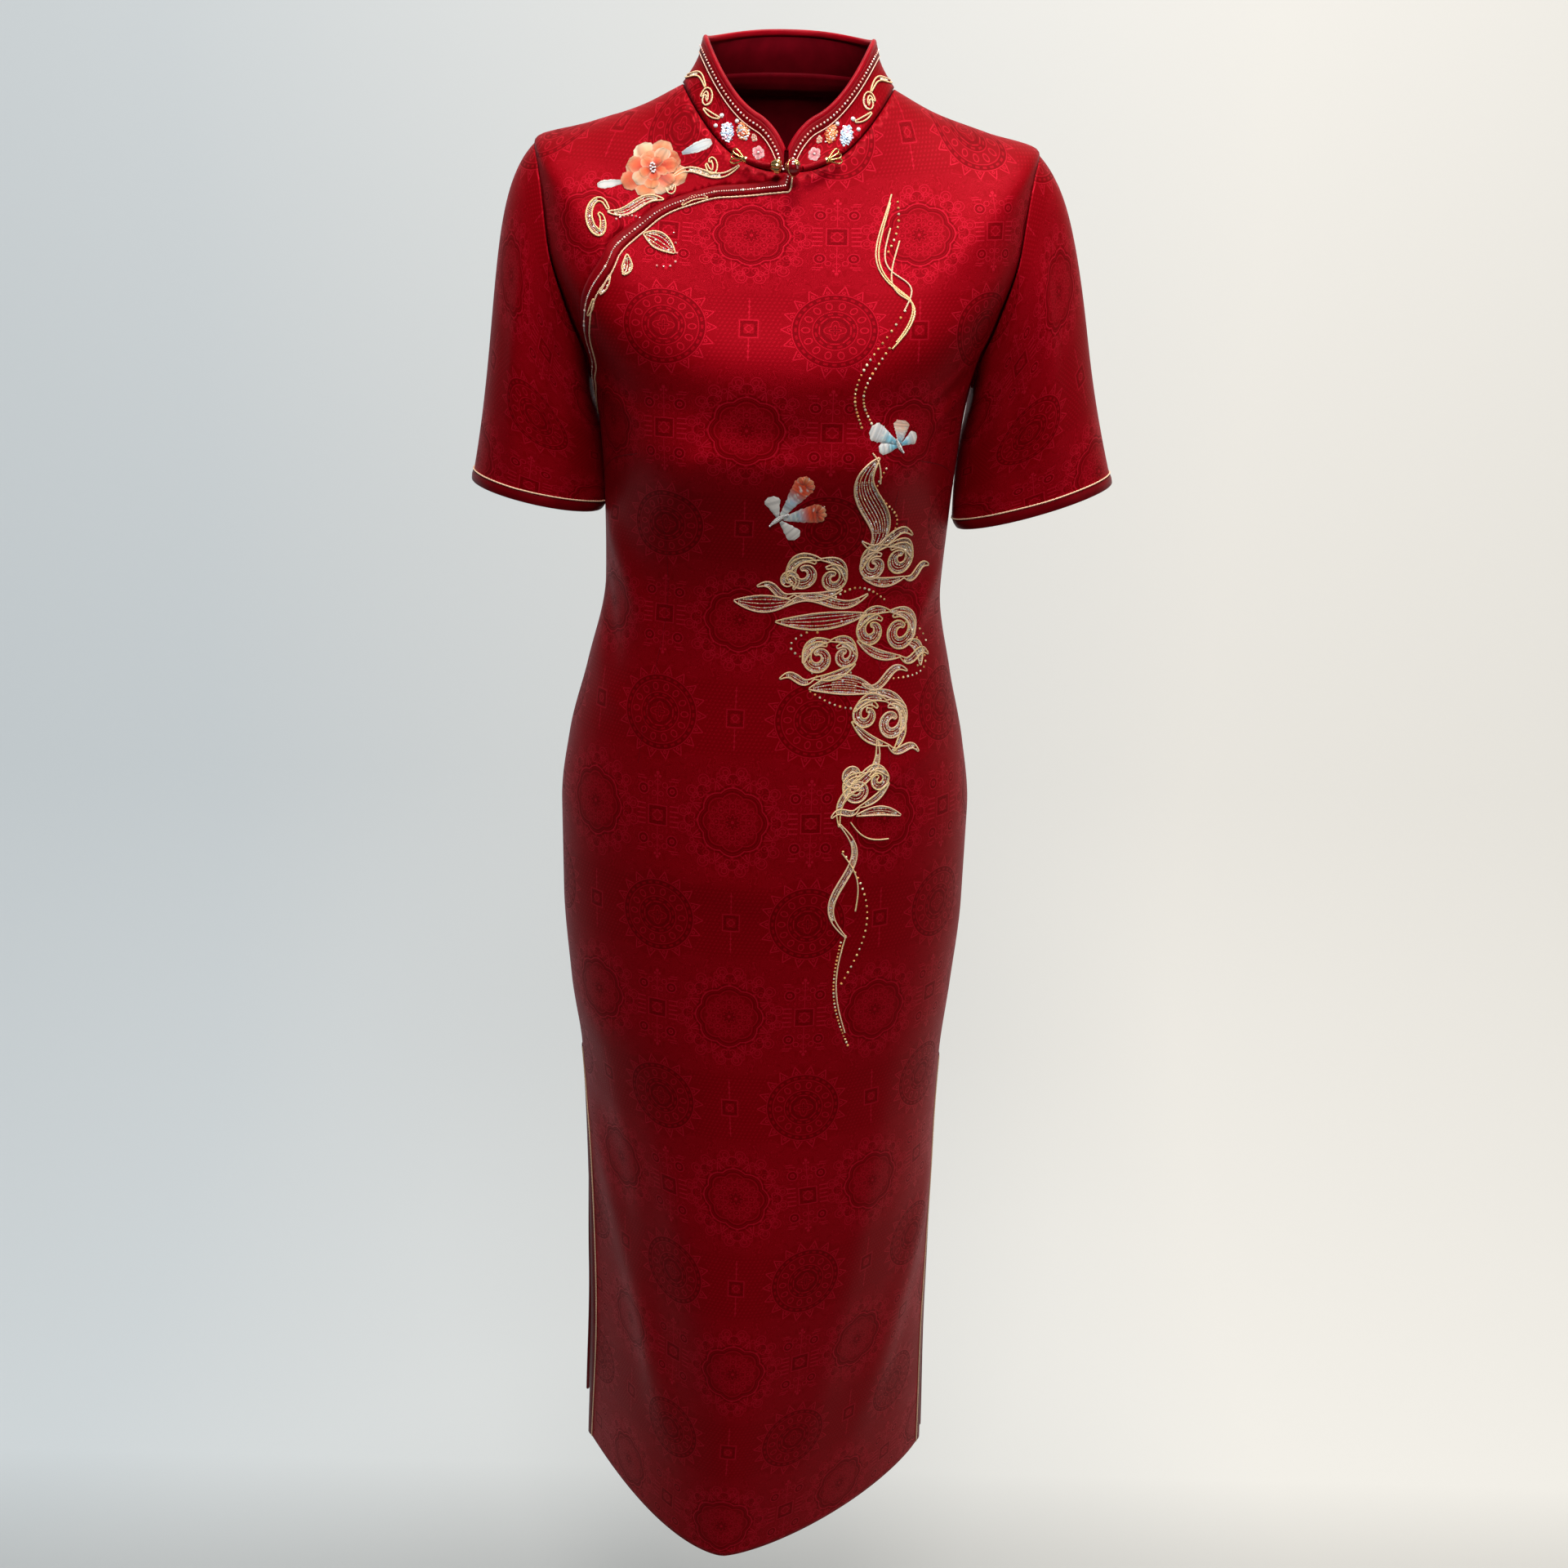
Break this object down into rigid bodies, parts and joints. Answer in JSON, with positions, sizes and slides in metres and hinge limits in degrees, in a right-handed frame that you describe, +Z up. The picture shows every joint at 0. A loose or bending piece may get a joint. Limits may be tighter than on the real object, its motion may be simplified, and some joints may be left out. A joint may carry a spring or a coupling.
{
  "type": "cheongsam dress",
  "caption": "Fitted calf-length dress with a stand collar, curved right-side closure, short sleeves and side slits, worn over the shoulders.",
  "frame": {"origin": "centre of the neck opening at the height where the shoulder seams meet the collar, where the wearer's neck carries the dress", "axes": "+Z up from hem to collar, -Y towards the front, +X towards the wearer's left"},
  "size_m": [0.5065, 0.277, 1.2593],
  "materials": {
    "brocade": "satin",
    "satin": "satin",
    "gilt": "polished",
    "enamel": "gloss"
  },
  "bodies": {
    "root": {"back": "brocade", "collar": "brocade", "collar_binding": "satin", "front_main": "brocade", "front_shoulder": "brocade", "knot_bell": "gilt", "knot_button": "enamel", "knot_cap_left": "gilt", "knot_cap_right": "gilt", "knot_cord_left": "satin", "knot_cord_right": "satin", "placket_band": "satin", "sleeve_binding_left": "satin", "sleeve_binding_right": "satin", "sleeve_left": "brocade", "sleeve_right": "brocade", "slit_binding_back_left": "satin", "slit_binding_back_right": "satin", "slit_binding_front_left": "satin", "slit_binding_front_right": "satin"}
  },
  "joints": []
}
